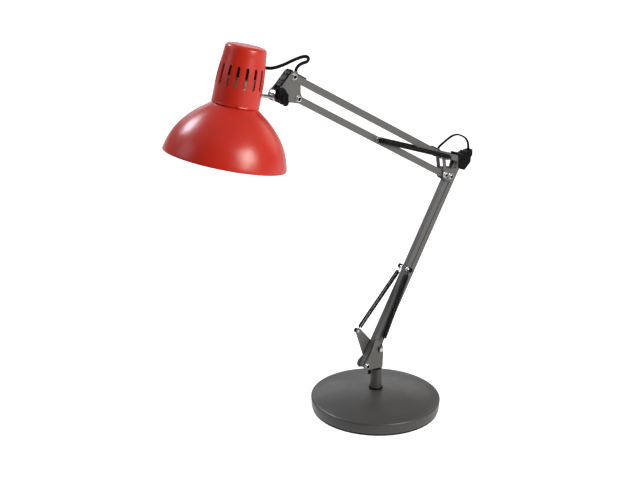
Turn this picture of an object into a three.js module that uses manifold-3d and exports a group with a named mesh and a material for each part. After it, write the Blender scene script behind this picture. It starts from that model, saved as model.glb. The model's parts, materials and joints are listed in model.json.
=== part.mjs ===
// Architect desk lamp. Millimetres, +Z up, origin at the centre of the base underside.
// The arms swing in the XZ plane, the head reaches toward -X, the near side is -Y.
import * as THREE from 'three';
import { mergeVertices } from 'three/addons/utils/BufferGeometryUtils.js';
import Module from 'manifold-3d';

const wasm = await Module();
wasm.setup();

// ---- driving dimensions -------------------------------------------------
const GAP = 0.3;                       // play between touching pieces
const BASE_R = 95.8, RIM_Z = 18, BASE_TOP = 32;    // round base: radius, rim height, height of the dome
const POST_R = 8.6, POST_TOP = 64;     // post standing on the base
const BAR_LO = 8.3, BAR_UP = 9.2;      // square tube widths of lower and upper arm
const WALL = 1;                        // tube wall
const PLATE_IN = 6.2, PLATE_OUT = 7.6;   // bracket plates, distance from the arm plane
const NUT_OUT = 10.9;                  // outer end of a pivot nut
const F0 = [-24, 76], R0 = [-1, 97.8]; // lower arm pivots at the base bracket
const F1 = [123.2, 341];               // front bar pivot at the elbow
const R1 = [F1[0] + R0[0] - F0[0], F1[1] + R0[1] - F0[1]];
const E2 = [112.7, 345], LINK = [-7.4, 30.7];
const E1 = [E2[0] + LINK[0], E2[1] + LINK[1]];   // upper arm pivots at the elbow
const H2 = [-153, 498], H1 = [H2[0] + LINK[0], H2[1] + LINK[1]];
const TILT = [-183.5, 506];            // tilt bolt of the head
const LO_PEG = [49.2, 211.4];          // spring peg through the front bar
const UP_PEG = [-14.6, 418.4];         // spring peg through the upper arm's lower bar
const WING = [-30.6, 128.2];           // spring pin on the far plate
const SPRING_PIN = [119.5, 371.5];     // spring pin of the elbow
const COVER_OUT_Y = 9.85;              // rivet heads over the elbow cover
const SPRING_R = 3.4, SPRING_Y = 8.8, SPRING_Y_ELBOW = 13;
const LEAN = THREE.MathUtils.degToRad(13.5);     // lean of the shade axis toward +X
const RIM = [-264.9, 431.5];           // centre of the shade's rim
const SHELL = 1.2;                     // sheet thickness of the shade
const CAP_Z = 73;                      // height of the cap's lower edge above the rim
const STEM_Z = 88.3, CORD_Z = 124.8;       // heights of stem and cord exit above the rim
const SLOTS = 16, SLOT_Z0 = 97, SLOT_Z1 = 124.7, SLOT_W = 3.8;

// ---- materials ------------------------------------------------------------
const mat = (color, metalness, roughness) =>
  new THREE.MeshStandardMaterial({ color, metalness, roughness });
const RED = mat(0xc8342a, 0.1, 0.35), GREY = mat(0x777472, 0.4, 0.5), DARK = mat(0x5a5856, 0.5, 0.45);
const BLACK = mat(0x161616, 0, 0.5), ZINC = mat(0xc8cacc, 1, 0.3), IRON = mat(0x3c3c3e, 0.8, 0.7);
const RUBBER = mat(0x101010, 0, 0.9), GLASS = mat(0xf2efe6, 0, 0.2), BRASS = mat(0xb8a070, 1, 0.4);

// ---- helpers --------------------------------------------------------------
const group = new THREE.Group();
group.name = 'architect_lamp';

function add(name, geometry, material) {
  const mesh = new THREE.Mesh(geometry, material);
  mesh.name = name;
  group.add(mesh);
}

function solid(geometry) {
  const g = new THREE.BufferGeometry();
  g.setAttribute('position', geometry.getAttribute('position').clone());
  if (geometry.index) g.setIndex(geometry.index.clone());
  const m = mergeVertices(g, 1e-4);
  return new wasm.Manifold(new wasm.Mesh({
    numProp: 3,
    vertProperties: new Float32Array(m.getAttribute('position').array),
    triVerts: new Uint32Array(m.index.array),
  }));
}

function geometryOf(manifold) {
  const m = manifold.getMesh();
  const g = new THREE.BufferGeometry();
  g.setAttribute('position', new THREE.BufferAttribute(new Float32Array(m.vertProperties), 3));
  g.setIndex(new THREE.BufferAttribute(new Uint32Array(m.triVerts), 1));
  g.computeVertexNormals();
  return g;
}

const join = (...parts) => geometryOf(wasm.Manifold.union(parts.map(solid)));
const cut = (body, ...tools) =>
  geometryOf(solid(body).subtract(wasm.Manifold.union(tools.map(solid))));

// Flat plate: outline given as [x, z] pairs, between y0 and y1.
function plate(outline, y0, y1, holes = []) {
  const shape = new THREE.Shape(outline.map(([x, z]) => new THREE.Vector2(x, z)));
  for (const [x, z, r] of holes) {
    const h = new THREE.Path();
    h.absarc(x, z, r, 0, Math.PI * 2, true);
    shape.holes.push(h);
  }
  const g = new THREE.ExtrudeGeometry(shape, { depth: y1 - y0, bevelEnabled: false, curveSegments: 7 });
  g.rotateX(Math.PI / 2);
  g.translate(0, y1, 0);
  return g;
}

// Outline round a chain of circles [x, z, r]: their convex hull.
function hull(circles, n = 18) {
  const pts = [];
  for (const [x, z, r] of circles)
    for (let i = 0; i < n; i++) {
      const a = (i / n) * Math.PI * 2;
      pts.push([x + r * Math.cos(a), z + r * Math.sin(a)]);
    }
  pts.sort((a, b) => a[0] - b[0] || a[1] - b[1]);
  const half = (list) => {
    const out = [];
    for (const p of list) {
      while (out.length > 1) {
        const [a, b] = out.slice(-2);
        if ((b[0] - a[0]) * (p[1] - a[1]) - (b[1] - a[1]) * (p[0] - a[0]) > 1e-9) break;
        out.pop();
      }
      out.push(p);
    }
    return out.slice(0, -1);
  };
  return [...half(pts), ...half([...pts].reverse())];
}

// Cylinder along Y at [x, z].
function pin([x, z], r, y0, y1, n = 12) {
  const g = new THREE.CylinderGeometry(r, r, y1 - y0, n);
  g.translate(x, (y0 + y1) / 2, z);
  return g;
}

// Profile [radius, height] in counter-clockwise order, which turns it with its faces outward;
// one that stays off the axis is closed into a ring.
function profilePoints(profile) {
  let area = 0;
  profile.forEach(([r, h], i) => {
    const [r2, h2] = profile[(i + 1) % profile.length];
    area += r * h2 - r2 * h;
  });
  const ring = area < 0 ? [...profile].reverse() : [...profile];
  if (ring[0][0] > 0 && String(ring[0]) !== String(ring[ring.length - 1])) ring.push(ring[0]);
  return ring.map(([r, h]) => new THREE.Vector2(r, h));
}

// Turned solid along Y: list of [radius, y], starting and ending on the axis.
function turnedY([x, z], profile, n = 16) {
  const g = new THREE.LatheGeometry(profilePoints(profile), n);
  g.translate(x, 0, z);
  return g;
}

// Turned solid along Z about the base axis.
function turnedZ(profile, n = 64) {
  const g = new THREE.LatheGeometry(profilePoints(profile), n);
  g.rotateX(Math.PI / 2);
  return g;
}

// Shade frame: local Z along the shade's axis from the rim, local X toward the arm.
function toShade(g) {
  g.rotateY(LEAN);
  g.translate(RIM[0], 0, RIM[1]);
  return g;
}

// Square tube with round ends between two pivots, bored for the pins.
function bar(a, b, width, extraHoles, boreR = 2.3) {
  const r = width / 2;
  const outer = plate(hull([[...a, r], [...b, r]], 20), -r, r);
  const inner = plate(hull([[...a, r - WALL], [...b, r - WALL]], 16), -r + WALL, r - WALL);
  const bores = [a, b, ...extraHoles].map((p) => pin(p, boreR, -r - 1, r + 1, 14));
  return cut(outer, inner, ...bores);
}

// Pivot bolt: round head on the far side, plain shank, hexagon nut with a stud end on the near side.
// Shoulders fill the space between the tube and the plates.
function pivotBolt(p, width) {
  const shank = pin(p, 2, -NUT_OUT - 0.8, PLATE_OUT + 2);
  const head = pin(p, 4, PLATE_OUT + GAP, PLATE_OUT + 2.3, 18);
  const nut = pin(p, 4, -NUT_OUT, -PLATE_OUT - GAP, 6);
  return join(shank, head, nut, ...shoulders(p, width));
}

const shoulders = (p, width) => [-1, 1].map((s) => pin(p, 3.3,
  Math.min(s * (width / 2 + GAP), s * (PLATE_IN - GAP)), Math.max(s * (width / 2 + GAP), s * (PLATE_IN - GAP))));

const rivet = (p, width, y = PLATE_OUT + GAP, t = 0.9) =>
  join(...shoulders(p, width), pin(p, 2, -y - t / 2, y + t / 2), pin(p, 3.6, -y - t, -y), pin(p, 3.6, y, y + t));

// Extension spring: coil sleeve with a wire eye at each end, from a to b.
function spring(a, b, leadA, leadB = leadA) {
  const A = new THREE.Vector3(...a), B = new THREE.Vector3(...b);
  const u = B.clone().sub(A).normalize();
  const rod = (p, q, r, n) => {
    const g = new THREE.CylinderGeometry(r, r, p.distanceTo(q), n);
    g.applyQuaternion(new THREE.Quaternion().setFromUnitVectors(new THREE.Vector3(0, 1, 0), u));
    const c = p.clone().add(q).multiplyScalar(0.5);
    return g.translate(c.x, c.y, c.z);
  };
  const eye = (c) => {
    const g = new THREE.TorusGeometry(3.3, 0.7, 5, 12);
    g.rotateX(Math.PI / 2);
    return g.translate(c.x, c.y, c.z);
  };
  const at = (c, d) => c.clone().addScaledVector(u, d);
  return join(
    rod(at(A, leadA), at(B, -leadB), SPRING_R, 12),
    rod(at(A, 3.3), at(B, -3.3), 0.7, 6),
    eye(A), eye(B));
}

// Flat twin cord along a smooth curve in the arm plane.
function cord(points, halfWidth = 2.4, halfThick = 1.3, steps = 40) {
  const curve = new THREE.CatmullRomCurve3(points.map(([x, z, y = 0]) => new THREE.Vector3(x, y, z)));
  const section = new THREE.Shape();
  section.absellipse(0, 0, halfThick, halfWidth, 0, Math.PI * 2, false, 0);
  return new THREE.ExtrudeGeometry(section, {
    steps, curveSegments: 5, bevelEnabled: false, extrudePath: curve });
}

// ---- base ------------------------------------------------------------------
const DOME_TOP = [[18, BASE_TOP - 0.3], [40, BASE_TOP - 1.7], [60, BASE_TOP - 4.2], [78, BASE_TOP - 7.6],
  [89, BASE_TOP - 10.6], [93.6, BASE_TOP - 12.5]];
add('base_cover', turnedZ([
  [POST_R + GAP, BASE_TOP], ...DOME_TOP, [BASE_R, RIM_Z], [95.5, RIM_Z - 4], [94.6, 3], [93.2, 3],
  [94.1, RIM_Z - 2.5], ...DOME_TOP.slice(0, 5).reverse().map(([r, z]) => [r, z - 1.5]),
  [POST_R + GAP, BASE_TOP - 1.5]], 52), DARK);
add('base_weight', turnedZ([
  [POST_R + GAP, 3], [92.6, 3], [93.3, RIM_Z - 3.4], ...DOME_TOP.slice(0, 5).reverse().map(([r, z]) => [r, z - 2.3]),
  [POST_R + GAP, BASE_TOP - 2.3]], 40), IRON);
add('base_pad', turnedZ([[0, 0], [93.4, 0], [93.4, 2.7], [0, 2.7]], 48), RUBBER);
const KNOB_ANGLE = THREE.MathUtils.degToRad(140), KNOB_Z = 57.5;
const alongKnob = (g, from) => g.rotateZ(-Math.PI / 2).translate(from, 0, 0)
  .rotateZ(KNOB_ANGLE).translate(0, 0, KNOB_Z);
add('post_tube', cut(turnedZ([
  [0, 3.2], [POST_R, 3.2], [POST_R, POST_TOP - 1], [POST_R - 0.8, POST_TOP], [5.3, POST_TOP],
  [5.3, 34], [0, 34], [0, 3.2]], 32), alongKnob(new THREE.CylinderGeometry(2.3, 2.3, 6, 16), 7.4)), DARK);
add('post_collar', turnedZ([
  [POST_R + GAP, BASE_TOP + GAP], [10.2, BASE_TOP + GAP], [10.2, BASE_TOP + 1.8], [9.6, BASE_TOP + 2.6],
  [POST_R + GAP, BASE_TOP + 2.6]], 32), BLACK);
add('post_clamp_knob', join(
  alongKnob(new THREE.CylinderGeometry(2, 2, 4.6, 16), 8.1),
  alongKnob(new THREE.CylinderGeometry(4, 4, 3, 12), 10.6)), BLACK);

// ---- base bracket ------------------------------------------------------------
const nearPlate = [[-28.6, 78.5], [-29.2, 75], [-27.4, 71.6], [-22, 69.2], [5.8, 66.6], [6.4, 88], [6, 98],
  [3.5, 104], [-2, 110], [-6, 113.2], [-9.4, 113], [-10.9, 110], [-13.5, 102.8], [-17, 95.7], [-20.9, 88.7],
  [-25.4, 82.3]];
const farPlate = [[-30, 73.5], [-27.5, 70.5], [-22, 69.2], [5.8, 66.6], [6.4, 88], [6, 98], [3.5, 103.5],
  [-2, 106], [-6, 107.5], [-26.2, 130.6], [-30, 132.7], [-33.6, 131.5], [-35, 128], [-20.5, 88],
  [-28.6, 82.5], [-30.8, 78]];
const basePins = [[...F0, 2.3], [...R0, 2.3]];
add('bracket_near_plate', plate(nearPlate, -PLATE_OUT, -PLATE_IN, basePins), GREY);
add('bracket_far_plate', plate(farPlate, PLATE_IN, PLATE_OUT, [...basePins, [...WING, 2.3]]), GREY);
add('bracket_foot', join(
  plate([[-14, 67.4], [5, 67.4], [5, 80], [1, 84], [-4, 84], [-14, 77]], -PLATE_IN + GAP, PLATE_IN - GAP),
  turnedZ([[0, 35], [5, 35], [5, 66], [4.5, 68.5], [0, 68.5], [0, 35]], 32),
  turnedZ([[0, 64], [7.4, 64], [7.4, 66.2], [0, 66.2], [0, 64]], 32)), ZINC);
add('bolt_base_front', pivotBolt(F0, BAR_LO), ZINC);
add('bolt_base_rear', join(pin(R0, 2, -12, 8.9), pin(R0, 3.8, PLATE_OUT + GAP, 9.2),
  pin(R0, 3.2, -12.6, -11.3), ...shoulders(R0, BAR_LO)), ZINC);
add('wing_pin', join(pin(WING, 2, PLATE_IN, 10.9), pin(WING, 2.6, PLATE_OUT + 0.05, PLATE_OUT + 0.3)), ZINC);
add('wing_pin_cap', turnedY(WING, [[0, 11.2], [3.4, 11.2], [3.4, 12.9], [2.4, 13.9], [0, 13.9]]), BLACK);

// ---- lower arm -----------------------------------------------------------------
function pegWithCaps(prefix, p, width) {
  add(`${prefix}_peg`, join(pin(p, 2, -11, 11), pin(p, 3.4, width / 2 + GAP, width / 2 + 0.9),
    pin(p, 3.4, -width / 2 - 0.9, -width / 2 - GAP)), ZINC);
  for (const [side, s] of [['near', -1], ['far', 1]]) {
    const cap = turnedY(p, [[0, 11.3], [3.5, 11.3], [3.5, 13], [2.5, 14], [0, 14]]);
    if (s < 0) cap.translate(-p[0], 0, -p[1]).rotateX(Math.PI).translate(p[0], 0, p[1]);
    add(`${prefix}_peg_cap_${side}`, cap, BLACK);
  }
}
add('lower_front_bar', bar(F0, F1, BAR_LO, [LO_PEG]), GREY);
pegWithCaps('lower', LO_PEG, BAR_LO);
add('lower_rear_bar', bar(R0, R1, BAR_LO, []), GREY);

// ---- elbow -----------------------------------------------------------------------
const elbowOutline = [[111.2, 338.4], [118, 334], [127, 333.8], [132, 337.2], [137.9, 349.4], [139, 354.6],
  [147, 357.4], [151.4, 360.6], [151.4, 364.6], [149.4, 366.6], [135.2, 370.9], [121.7, 375.4], [106, 381.4],
  [101, 380.8], [98.9, 376], [100.6, 372], [106.6, 369.6], [109, 354.6], [108.7, 342.5]];
const elbowWindow = (y0, y1) => plate([[114.9, 353.8], [132.6, 351], [135.4, 361], [125.7, 365.2],
  [112.4, 367.6]], y0, y1);
const elbowPins = [[...F1, 2.3], [...E1, 2.3], [...E2, 2.3], [...R1, 2.3], [...SPRING_PIN, 2.3]];
for (const [side, y0, y1] of [['near', -PLATE_OUT, -PLATE_IN], ['far', PLATE_IN, PLATE_OUT]])
  add(`elbow_${side}_plate`, cut(plate(elbowOutline, y0, y1, elbowPins), elbowWindow(y0 - 1, y1 + 1)), GREY);
add('bolt_elbow_front', pivotBolt(F1, BAR_LO), ZINC);
add('bolt_elbow_lower', pivotBolt(E2, BAR_UP), ZINC);
add('rivet_elbow_top', rivet(E1, BAR_UP), ZINC);
add('rivet_elbow_rear', rivet(R1, BAR_LO, COVER_OUT_Y), BLACK);
add('elbow_spring_pin', join(pin(SPRING_PIN, 2, -14.6, 14.6), pin(SPRING_PIN, 3.2, -15.4, -14.2),
  pin(SPRING_PIN, 3.2, 14.2, 15.4)), GREY);
// Cover saddling the rear of both plates: side walls outside them, back wall and top between.
const COVER_IN = PLATE_OUT + GAP, COVER_OUT = COVER_IN + 1.6;
const coverWall = [[137.6, 351], [141.6, 348.6], [148.8, 346.4], [159.6, 356.5], [160.6, 368],
  [157.4, 371.6], [150.6, 368.8], [136.6, 373]];
const coverBack = [[136.6, 371.5], [150.2, 367.4], [158.4, 367.8], [158.2, 356.5], [159.6, 356.5], [160.6, 368],
  [157.4, 371.6], [150.6, 368.8], [136.6, 373]];
const chimney = [[153.5, 368.2], [157, 373], [166.6, 373.8], [167, 365], [160, 357.4], [158.8, 363]];
const cordBore = new THREE.CylinderGeometry(2.7, 2.7, 12, 16).rotateX(Math.PI / 2).translate(162.4, 0, 372);
add('elbow_cover', cut(
  join(plate(coverWall, -COVER_OUT, -COVER_IN), plate(coverWall, COVER_IN, COVER_OUT),
    plate(coverBack, -COVER_OUT + 0.2, COVER_OUT - 0.2), plate(chimney, -5, 5)),
  cordBore, pin(R1, 2.3, -10, 10)), BLACK);

// ---- upper arm ---------------------------------------------------------------------
add('upper_top_bar', bar(H1, E1, BAR_UP, []), GREY);
const along = new THREE.Vector2(E1[0] - H1[0], E1[1] - H1[1]).normalize();
function clip(name, s0, s1) {
  const lift = BAR_UP / 2 + GAP;
  const at = (s, h) => [H1[0] + along.x * s - along.y * h, H1[1] + along.y * s + along.x * h];
  add(name, plate([at(s0, lift), at(s1, lift), at(s1 - 1, lift + 1.5), at(s0 + 1, lift + 1.5)], -3.6, 3.6), BLACK);
}
clip('cord_clip_head', 8, 24);
clip('cord_clip_elbow', 288, 304);
add('upper_lower_bar', bar(H2, E2, BAR_UP, [UP_PEG]), GREY);
pegWithCaps('upper', UP_PEG, BAR_UP);

// ---- head bracket --------------------------------------------------------------------
const headOutline = [[-154.5, 535], [-161, 535.6], [-164.5, 534.4], [-179, 519.6], [-189, 512.5],
  [-192, 506], [-190, 499.5], [-185, 497], [-165, 494.5], [-153, 491.4], [-147.5, 494], [-146.4, 499],
  [-149.2, 505], [-149.6, 521], [-153, 529]];
const headPins = [[...H1, 2.3], [...H2, 2.3], [...TILT, 2.8]];
add('head_near_plate', plate(headOutline, -PLATE_OUT, -PLATE_IN, headPins), GREY);
add('head_far_plate', plate(headOutline, PLATE_IN, PLATE_OUT, headPins), GREY);
add('head_block', cut(
  plate([[-160.6, 537], [-162, 537.2], [-165.6, 535.8], [-182, 519], [-177.4, 512.4], [-166, 521.5],
    [-160.6, 531]], -PLATE_IN + GAP, PLATE_IN - GAP),
  pin(H1, 5.2, -7, 7, 32),
  new THREE.CylinderGeometry(1.3, 1.3, 8, 12).rotateZ(0.76).translate(-167.6, 0, 533),
  new THREE.CylinderGeometry(1.3, 1.3, 8, 12).rotateZ(0.76).translate(-175, 0, 525.6)), BLACK);
for (const [name, x, z] of [['head_screw_upper', -167.6, 533.1], ['head_screw_lower', -175, 525.7]])
  add(name, join(
    new THREE.CylinderGeometry(1, 1, 2.4, 12).rotateZ(0.76).translate(x + 0.3, 0, z - 0.3),
    new THREE.CylinderGeometry(1.5, 1.5, 0.9, 16).rotateZ(0.76).translate(x - 1.35, 0, z + 1.4)), ZINC);
add('bolt_head_top', pivotBolt(H1, BAR_UP), ZINC);
add('bolt_head_lower', pivotBolt(H2, BAR_UP), ZINC);
add('tilt_bolt', join(pin(TILT, 2.4, -11.2, 10), pin(TILT, 4.6, PLATE_OUT + GAP, 10.6, 6)), ZINC);

// Wing knob on the near end of the tilt bolt: a long wing up, a shorter one down, waisted at the sides.
const lobes = [];
for (let i = 0; i < 72; i++) {
  const a = (i / 72) * Math.PI * 2, b = a - THREE.MathUtils.degToRad(112);
  const r = 9.6 + 3.1 * Math.cos(2 * b) + 1.2 * Math.cos(4 * b) + Math.cos(b);
  lobes.push([TILT[0] + r * Math.cos(a), TILT[1] + r * Math.sin(a)]);
}
add('tilt_wing_knob', cut(join(plate(lobes, -19.2, -8.4), pin(TILT, 5.2, -20, -PLATE_OUT - GAP)),
  pin(TILT, 2.7, -12.2, -5)), BLACK);

// ---- shade and lamp holder ---------------------------------------------------------------
const lean = new THREE.Vector2(Math.cos(LEAN), -Math.sin(LEAN));
const eyeLocal = [(TILT[0] - RIM[0]) * lean.x + (TILT[1] - RIM[1]) * lean.y,
  (TILT[0] - RIM[0]) * -lean.y + (TILT[1] - RIM[1]) * lean.x];
const CAP = [[31.4, 0], [31.2, 15], [31.1, 30], [30.2, 44], [28.9, 56], [28, 64], [27.4, 71],
  [26.6, 74.6], [24.4, 76.8], [19, 77.9], [0, 78.6]];
function shellProfile(outer, t) {
  const inner = outer.map(([r, z]) => [Math.max(r - t, 0), z]).reverse();
  inner[0] = [0, outer[outer.length - 1][1] - t];
  for (let i = 1; i < 4; i++) inner[i] = [Math.max(outer[outer.length - 1 - i][0] - t * 0.7, 0),
    outer[outer.length - 1 - i][1] - t * 0.85];
  return [...outer.map(([r, z]) => [r, z]), ...inner, outer[0]];
}
const capBody = turnedZ(shellProfile(CAP, SHELL).reverse(), 40).translate(0, 0, CAP_Z);
const slotTools = [];
for (let i = 1; i < SLOTS; i++) {      // the first place is taken by the cord's grommet
  const a = (i / SLOTS) * Math.PI * 2 + THREE.MathUtils.degToRad(1.5);
  const g = new THREE.ExtrudeGeometry(
    new THREE.Shape(hull([[0, SLOT_Z0 + SLOT_W / 2, SLOT_W / 2], [0, SLOT_Z1 - SLOT_W / 2, SLOT_W / 2]], 8)
      .map(([x, z]) => new THREE.Vector2(x, z))), { depth: 12, bevelEnabled: false });
  g.rotateX(Math.PI / 2).rotateZ(Math.PI / 2).translate(24, 0, 0).rotateZ(a);
  slotTools.push(g);
}
const stemHole = new THREE.CylinderGeometry(3.1, 3.1, 12, 16).rotateZ(Math.PI / 2).translate(31, 0, STEM_Z);
const cordHole = new THREE.CylinderGeometry(4.2, 4.2, 12, 16).rotateZ(Math.PI / 2).translate(29, 0, CORD_Z);
const SCREW_ANGLES = [241];
const screwAt = (g, deg, radius) => g.rotateZ(Math.PI / 2).translate(radius, 0, CAP_Z + 2.6)
  .rotateZ(THREE.MathUtils.degToRad(deg));
const screwHoles = SCREW_ANGLES.map((a) => screwAt(new THREE.CylinderGeometry(1.3, 1.3, 8, 12), a, 30));
add('shade_cap', toShade(cut(capBody, ...slotTools, stemHole, cordHole, ...screwHoles)), RED);

const DOME = [[82, 0], [81.4, 3.9], [80, 9.5], [78.2, 15.4], [75.9, 21.5], [73.1, 27.6], [69.6, 33.6],
  [65.5, 39.5], [60.8, 45.3], [55.6, 51], [49.9, 56.4], [44, 61.4], [38.4, 65.6], [33.6, 69.2], [29.6, 72.4]];
const NECK_TOP = CAP_Z + 5.4;
const domeOuter = [...DOME, [29.6, NECK_TOP]];
const domeInner = [[28.4, NECK_TOP], [28.4, 71.5], ...DOME.slice(0, 14).reverse().filter((p, i) => i % 2 || i < 1)
  .map(([r, z]) => (z === 0 ? [80.8, 0] : [r - 0.9, z - 0.8]))];
add('shade_dome', toShade(cut(turnedZ([...domeInner.slice(0).reverse(), ...domeOuter.slice(0).reverse()]
  .concat([[80.8, 0]]), 44), ...SCREW_ANGLES.map((a) =>
  screwAt(new THREE.CylinderGeometry(1.3, 1.3, 8, 12), a, 30)))), RED);
for (const a of SCREW_ANGLES)
  add('shade_screw', toShade(join(
    screwAt(new THREE.CylinderGeometry(1, 1, 5, 12), a, 29.9),
    screwAt(new THREE.CylinderGeometry(2.1, 2.1, 0.8, 16), a, 32.2))), RED);

const along_x = (r, x0, x1, z, n = 20) =>
  new THREE.CylinderGeometry(r, r, x1 - x0, n).rotateZ(Math.PI / 2).translate((x0 + x1) / 2, 0, z);
const eye = new THREE.CylinderGeometry(7.4, 7.4, 11.2, 32).translate(eyeLocal[0], 0, eyeLocal[1]);
const eyeBore = new THREE.CylinderGeometry(2.8, 2.8, 14, 24).translate(eyeLocal[0], 0, eyeLocal[1]);
add('stem', toShade(cut(join(eye, along_x(2.6, 22, eyeLocal[0] - 3.4, STEM_Z), along_x(5, 31.9, 33.6, STEM_Z, 6)),
  eyeBore)), ZINC);
add('stem_nut', toShade(cut(along_x(5.2, 26, 29.4, STEM_Z, 6), along_x(2.9, 20, 32, STEM_Z))), ZINC);
add('cap_grommet', toShade(cut(join(along_x(3.9, 24.6, 30.8, CORD_Z), along_x(5.4, 30.4, 32.2, CORD_Z)),
  along_x(2.75, 20, 34, CORD_Z, 16))), BLACK);
add('holder_plate', toShade(turnedZ([[19.3, 94.4], [29.3, 94.4], [29.3, 95.6], [19.3, 95.6], [19.3, 94.4]], 32)), ZINC);
add('holder_skirt', toShade(turnedZ([[15.6, 84], [17, 82], [19, 82], [19, 108], [21.8, 108.6], [21.8, 110],
  [15.6, 110], [15.6, 84]], 28)), BRASS);
add('lamp_holder', toShade(turnedZ([[0, 110.4], [20.6, 110.4], [20.6, 122], [17, 131], [8, 135], [0, 135],
  [0, 110.4]], 28)), BLACK);
add('bulb_cap', toShade(turnedZ([[12, 78], [13, 78], [13.2, 104], [9, 107.5], [4, 110], [0, 110], [0, 108.6],
  [8, 106], [12, 103]], 24)), BRASS);
// The bulb is a thin shell, open at its neck inside the metal cap.
const BULB = [[13, 77.7], [14, 72], [18, 64], [24.5, 54], [28.5, 44], [30, 35], [28.6, 25], [24, 15.6],
  [16, 8.8], [8, 5.8], [0, 5]];
const bulbInside = BULB.map(([r, z]) => [r * 0.965, 35 + (z - 35) * 0.965]).reverse();
bulbInside[bulbInside.length - 1] = [12, 77.7];
add('bulb_glass', toShade(turnedZ([...BULB, ...bulbInside, BULB[0]], 28)), GLASS);

// ---- springs and cords -----------------------------------------------------------------------
const p3 = ([x, z], y) => [x, y, z];
add('spring_lower_near', spring(p3(LO_PEG, -SPRING_Y), p3(R0, -SPRING_Y), 8, 17), BLACK);
add('spring_lower_far', spring(p3(LO_PEG, SPRING_Y), p3(WING, SPRING_Y), 8, 6), BLACK);
add('spring_upper_near', spring(p3(UP_PEG, -SPRING_Y), p3(SPRING_PIN, -SPRING_Y_ELBOW), 7), BLACK);
add('spring_upper_far', spring(p3(UP_PEG, SPRING_Y), p3(SPRING_PIN, SPRING_Y_ELBOW), 7), BLACK);
add('cord_head_loop', cord([[-207.1, 546], [-203.2, 545], [-198.1, 543.8], [-193, 542.9], [-187, 542.7],
  [-180, 543.3], [-169.8, 545.2], [-159.6, 547.8], [-149.2, 550.2], [-141, 551.3], [-135.2, 550.8],
  [-132.2, 548.9], [-131.9, 545.9], [-134.6, 543.7], [-139.6, 542.9], [-145.8, 541.2], [-150.6, 537.6],
  [-152.4, 532.4]],
1.4, 2.25), BLACK);
add('cord_elbow_loop', cord([[103.9, 384.6], [105.3, 386.6], [108.8, 389], [114.6, 392.2], [122.9, 396.4], [130.1, 399.2],
  [139, 399.6], [147.3, 396.8], [155.9, 391.4], [160.8, 384.6], [162.4, 377], [162.4, 369]], 2.1, 1.3), BLACK);

export default group;
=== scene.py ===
"""Architect desk lamp: the looks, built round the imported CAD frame.

The frame is in metres with +Z up. Lengths here are in mm and turn into metres in piece()."""

import json
import math

import bpy
from mathutils import Matrix, Vector

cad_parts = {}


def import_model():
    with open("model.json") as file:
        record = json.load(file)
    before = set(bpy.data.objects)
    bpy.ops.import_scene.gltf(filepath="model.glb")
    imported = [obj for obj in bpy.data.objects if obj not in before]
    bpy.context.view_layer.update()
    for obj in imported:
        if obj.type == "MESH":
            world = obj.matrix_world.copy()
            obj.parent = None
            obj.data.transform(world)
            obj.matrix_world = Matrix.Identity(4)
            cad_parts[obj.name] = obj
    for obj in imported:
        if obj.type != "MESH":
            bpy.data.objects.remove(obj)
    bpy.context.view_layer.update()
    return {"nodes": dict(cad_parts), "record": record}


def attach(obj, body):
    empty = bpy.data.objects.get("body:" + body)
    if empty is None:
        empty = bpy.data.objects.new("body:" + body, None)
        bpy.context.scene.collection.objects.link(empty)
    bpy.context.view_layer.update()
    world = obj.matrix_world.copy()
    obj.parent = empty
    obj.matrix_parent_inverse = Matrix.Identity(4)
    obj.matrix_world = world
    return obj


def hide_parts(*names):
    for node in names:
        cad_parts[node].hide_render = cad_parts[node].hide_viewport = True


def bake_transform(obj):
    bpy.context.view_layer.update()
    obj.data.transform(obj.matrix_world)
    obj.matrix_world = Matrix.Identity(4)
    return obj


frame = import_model()
NODES = frame["nodes"]
MM = 0.001

# ---- the lamp's own geometry, as the CAD has it (mm) -------------------------------------------
F0, R0 = (-24, 76), (-1, 97.8)
F1, E2, E1 = (123.2, 341), (112.7, 345), (105.3, 375.7)
R1 = (F1[0] + R0[0] - F0[0], F1[1] + R0[1] - F0[1])
H2, H1, TILT = (-153, 498), (-160.4, 528.7), (-183.5, 506)
LO_PEG, UP_PEG, WING, SPRING_PIN = (49.2, 211.4), (-14.6, 418.4), (-30.6, 128.2), (119.5, 371.5)
SPRING_Y, SPRING_Y_ELBOW, SPRING_R = 8.8, 13.0, 3.4
PLATE_IN, PLATE_OUT, GAP, NUT_OUT = 6.2, 7.6, 0.3, 10.9
BAR_LO, BAR_UP = 8.3, 9.2
LEAN, RIM = math.radians(13.5), (-264.9, 431.5)
CAP_Z, SLOT_COUNT, SLOT_Z0, SLOT_Z1, SLOT_W = 73.0, 16, 97.0, 124.7, 3.8
BASE_TOP, POST_R = 32.0, 8.6

# ---- camera ------------------------------------------------------------------------------------
CAMERA_AT = (-1.28686, -1.55547, 1.00725)
YAW, PITCH, ROLL = math.radians(37.18), math.radians(20.25), math.radians(0.88)
FOCAL, SENSOR = 84.41, 36.0
HALF_PIXEL = 0.5 / 640                  # as a share of the picture's width


def make_camera():
    data = bpy.data.cameras.new("camera")
    data.sensor_width, data.lens = SENSOR, FOCAL
    data.clip_start, data.clip_end = 0.05, 60.0
    data.shift_x, data.shift_y = -HALF_PIXEL, HALF_PIXEL
    cam = bpy.data.objects.new("camera", data)
    bpy.context.scene.collection.objects.link(cam)
    level = math.cos(PITCH)
    forward = Vector((math.sin(YAW) * level, math.cos(YAW) * level, -math.sin(PITCH)))
    right0 = Vector((math.cos(YAW), -math.sin(YAW), 0))
    up0 = right0.cross(forward)
    right = math.cos(ROLL) * right0 + math.sin(ROLL) * up0
    up = -math.sin(ROLL) * right0 + math.cos(ROLL) * up0
    turn = Matrix((right, up, -forward)).transposed().to_4x4()
    cam.matrix_world = Matrix.Translation(CAMERA_AT) @ turn
    bpy.context.scene.camera = cam


make_camera()


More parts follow.
